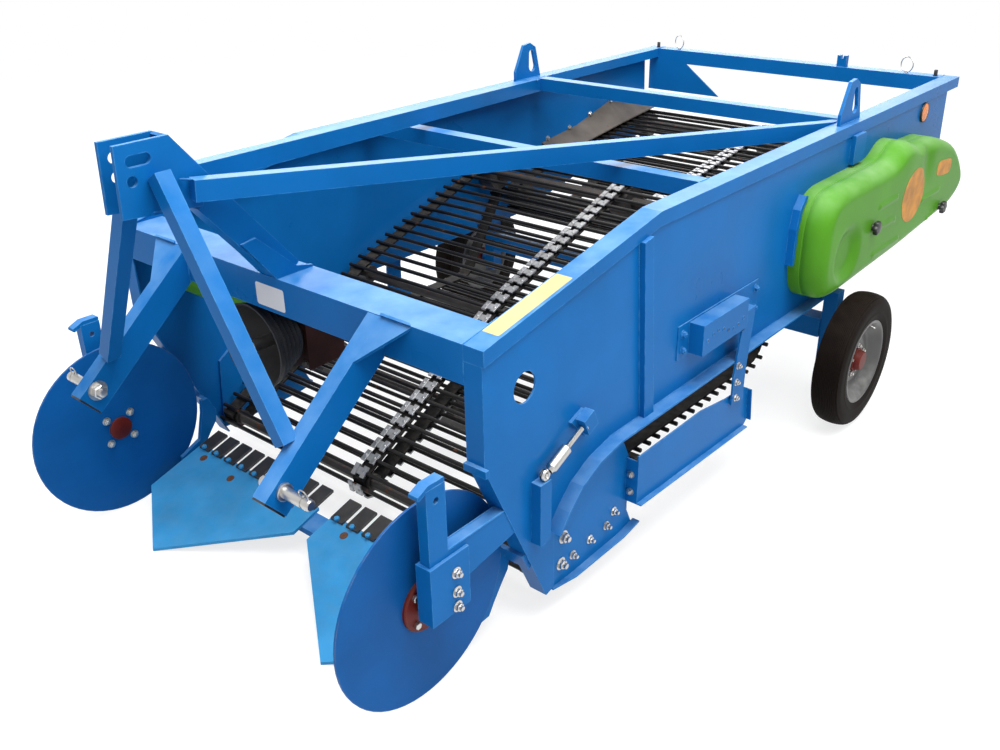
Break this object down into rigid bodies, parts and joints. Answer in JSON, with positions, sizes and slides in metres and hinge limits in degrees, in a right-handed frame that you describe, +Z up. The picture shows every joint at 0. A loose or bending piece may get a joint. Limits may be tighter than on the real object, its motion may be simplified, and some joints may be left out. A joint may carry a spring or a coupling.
{
  "type": "two-row potato harvester for a tractor's three-point linkage",
  "caption": "Tractor-mounted potato digger with pointed shares, disc coulters, two rod webs between sheet side walls, a moulded belt guard and gauge wheels.",
  "frame": {"origin": "on the floor at the middle of the machine's width and length", "axes": "+X to the machine's left side, +Y to the rear where the crop leaves, +Z up"},
  "size_m": [1.868, 3.382, 1.295],
  "materials": {
    "blue_paint": "gloss paint",
    "share_paint": "gloss paint",
    "green_plastic": "moulded plastic",
    "hub_red": "primer red",
    "rim_grey": "silver paint",
    "steel": "plated",
    "rod_steel": "black steel",
    "galvanized": "galvanized",
    "belt_rubber": "matte",
    "cast_grey": "painted casting",
    "strip_steel": "worn steel with rust",
    "tyre": "matte",
    "black_plastic": "knob"
  },
  "bodies": {
    "frame": {"side_wall_left": "blue_paint", "side_wall_right": "blue_paint", "share_left": "share_paint", "share_right": "share_paint", "coulter_holder_left": "blue_paint", "coulter_holder_right": "blue_paint", "top_rails": "blue_paint", "hitch_legs": "blue_paint", "lower_pins": "steel", "mast_plates": "blue_paint", "mast_braces": "blue_paint", "struts": "blue_paint", "share_holders": "blue_paint", "share_legs": "blue_paint", "wheel_posts": "blue_paint", "post_brackets": "blue_paint", "adjusters": "blue_paint", "side_skirts": "blue_paint", "lifting_lugs": "blue_paint", "front_beam": "blue_paint", "cross_tubes": "blue_paint", "lifting_fingers": "rod_steel", "rear_beam": "blue_paint", "mast_post": "blue_paint", "share_bar": "blue_paint", "axle_beam": "blue_paint", "belt_guard": "green_plastic", "guard_knobs": "black_plastic", "gearbox": "cast_grey", "pto_shaft": "steel", "cross_shaft_guard": "green_plastic", "crop_deflectors": "strip_steel", "turnbuckles": "steel", "front_web_rods": "rod_steel", "front_web_links": "galvanized", "front_web_belts": "belt_rubber", "front_web_rollers": "rod_steel", "rear_web_rods": "rod_steel", "rear_web_links": "galvanized", "rear_web_belts": "belt_rubber", "rear_web_rollers": "rod_steel"},
    "coulter_left": {"coulter_disc_left": "blue_paint", "coulter_hub_left": "hub_red"},
    "wheel_left": {"tyre_left": "tyre", "rim_left": "rim_grey", "wheel_hub_left": "hub_red"},
    "coulter_right": {"coulter_disc_right": "blue_paint", "coulter_hub_right": "hub_red"},
    "wheel_right": {"tyre_right": "tyre", "rim_right": "rim_grey", "wheel_hub_right": "hub_red"}
  },
  "joints": [
    {"name": "coulter_left_turn", "type": "hinge", "parent": "frame", "child": "coulter_left", "pos_m": [0.654, -1.416, 0.277], "axis": [1, 0, 0], "continuous": true},
    {"name": "wheel_left_turn", "type": "hinge", "parent": "frame", "child": "wheel_left", "pos_m": [0.882, 0.515, 0.24], "axis": [1, 0, 0], "continuous": true},
    {"name": "coulter_right_turn", "type": "hinge", "parent": "frame", "child": "coulter_right", "pos_m": [-0.654, -1.416, 0.277], "axis": [1, 0, 0], "continuous": true},
    {"name": "wheel_right_turn", "type": "hinge", "parent": "frame", "child": "wheel_right", "pos_m": [-0.882, 0.515, 0.24], "axis": [1, 0, 0], "continuous": true}
  ]
}
